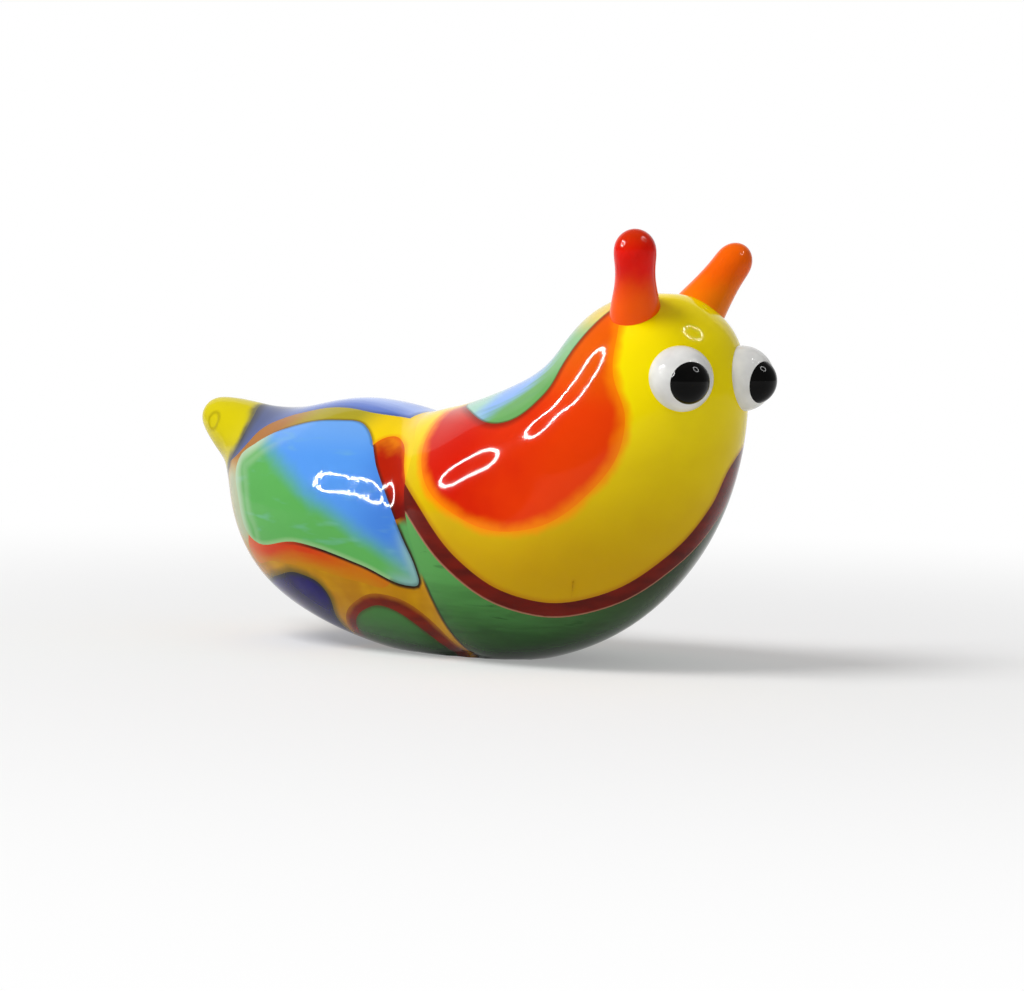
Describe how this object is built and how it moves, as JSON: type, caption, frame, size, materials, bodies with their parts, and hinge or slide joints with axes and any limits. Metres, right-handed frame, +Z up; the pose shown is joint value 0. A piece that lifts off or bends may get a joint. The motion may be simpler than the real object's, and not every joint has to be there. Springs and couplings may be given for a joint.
{
  "type": "snail figurine",
  "caption": "Small flame-worked glass snail with a raised head, drawn horns, bead eyes and coloured fields melted into its sides; stands on a flat foot as an ornament.",
  "frame": {"origin": "on the flat foot, on the middle plane, below the back of the chest", "axes": "+X towards the head, +Z up, so the animal's right flank faces -Y"},
  "size_m": [0.0385, 0.0146, 0.0236],
  "materials": {
    "yellow_glass": "gloss",
    "amber_glass": "gloss",
    "green_glass": "gloss",
    "dark_green_glass": "gloss",
    "red_brown_glass": "gloss",
    "red_glass": "gloss",
    "orange_glass": "gloss",
    "turquoise_glass": "gloss",
    "periwinkle_glass": "gloss",
    "leaf_glass": "gloss",
    "navy_glass": "gloss",
    "white_glass": "gloss",
    "black_glass": "gloss"
  },
  "bodies": {
    "root": {"rear_gather": "amber_glass", "front_gather": "yellow_glass", "foot": "green_glass", "foot_trail": "red_brown_glass", "tail_tip": "yellow_glass", "back_stripe": "periwinkle_glass", "nape_leaf": "turquoise_glass", "navy_patch": "navy_glass", "right_shoulder_patch": "red_glass", "left_shoulder_patch": "red_glass", "right_flank_leaf": "leaf_glass", "left_flank_leaf": "leaf_glass", "right_flank_band": "orange_glass", "left_flank_band": "orange_glass", "right_collar_bar": "red_brown_glass", "left_collar_bar": "red_brown_glass", "right_oval": "dark_green_glass", "left_oval": "dark_green_glass", "right_oval_rim": "red_brown_glass", "left_oval_rim": "red_brown_glass", "right_eye_white": "white_glass", "left_eye_white": "white_glass", "right_pupil": "black_glass", "left_pupil": "black_glass", "right_horn": "red_glass", "left_horn": "orange_glass"}
  },
  "joints": []
}
